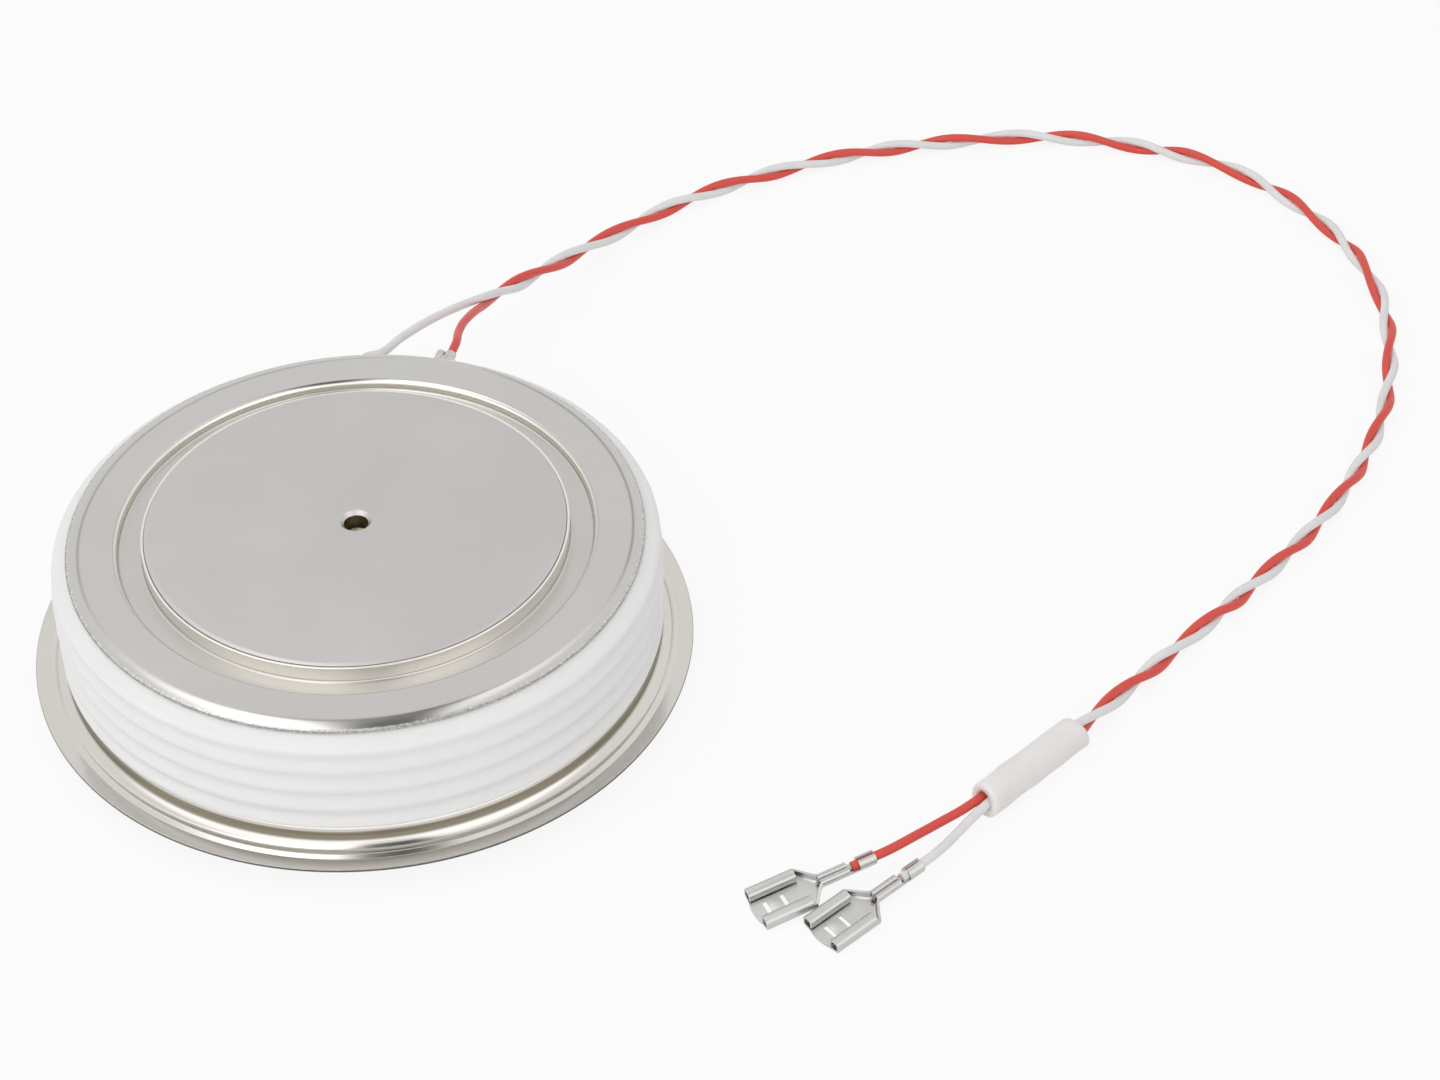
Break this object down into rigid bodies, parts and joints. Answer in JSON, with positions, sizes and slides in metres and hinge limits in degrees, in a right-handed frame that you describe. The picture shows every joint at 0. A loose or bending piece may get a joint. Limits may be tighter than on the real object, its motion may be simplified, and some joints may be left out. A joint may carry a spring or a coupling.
{
  "type": "disc thyristor",
  "caption": "Sealed disc thyristor: flat round capsule with a ribbed white ceramic ring, metal pole faces, and a twisted gate lead ending in push-on terminals.",
  "frame": {"origin": "centre of the anode face, which the capsule rests on", "axes": "+Z along the capsule's axis from the anode face to the cathode face; the lead leaves towards +Y"},
  "size_m": [0.221, 0.2028, 0.026],
  "materials": {
    "pole_nickel": "matte nickel plate on turned copper",
    "flange_nickel": "satin nickel plate on formed sheet",
    "ceramic": "white glaze",
    "molybdenum": "lapped",
    "silicon": "metallised silicon",
    "coating": "cast silicone",
    "fluoropolymer": "satin",
    "gate_metal": "gold plate",
    "spring_steel": "drawn",
    "tube_nickel": "satin nickel plate",
    "red_insulation": "satin",
    "white_insulation": "satin",
    "sleeve_rubber": "translucent, soft",
    "strand_copper": "tinned strands",
    "tinned_brass": "matte tin plate"
  },
  "bodies": {
    "root": {"cathode_pole": "pole_nickel", "anode_pole": "pole_nickel", "cathode_flange": "flange_nickel", "weld_ring": "flange_nickel", "anode_flange": "flange_nickel", "ceramic_ring": "ceramic", "anode_disc": "molybdenum", "cathode_disc": "molybdenum", "silicon_wafer": "silicon", "junction_coating": "coating", "locating_ring": "fluoropolymer", "gate_insulator": "fluoropolymer", "gate_lead_sleeve": "fluoropolymer", "gate_pin": "gate_metal", "gate_spring": "spring_steel", "gate_tube": "tube_nickel", "gate_crimp": "tube_nickel", "cathode_strap": "tube_nickel", "cathode_tube": "tube_nickel", "cathode_crimp": "tube_nickel", "gate_lead": "tube_nickel", "red_lead": "red_insulation", "red_tail": "red_insulation", "white_lead": "white_insulation", "white_tail": "white_insulation", "twisted_pair": "white_insulation", "wire_sleeve": "sleeve_rubber", "white_conductor": "strand_copper", "red_conductor": "strand_copper", "white_terminal": "tinned_brass", "red_terminal": "tinned_brass"}
  },
  "joints": []
}
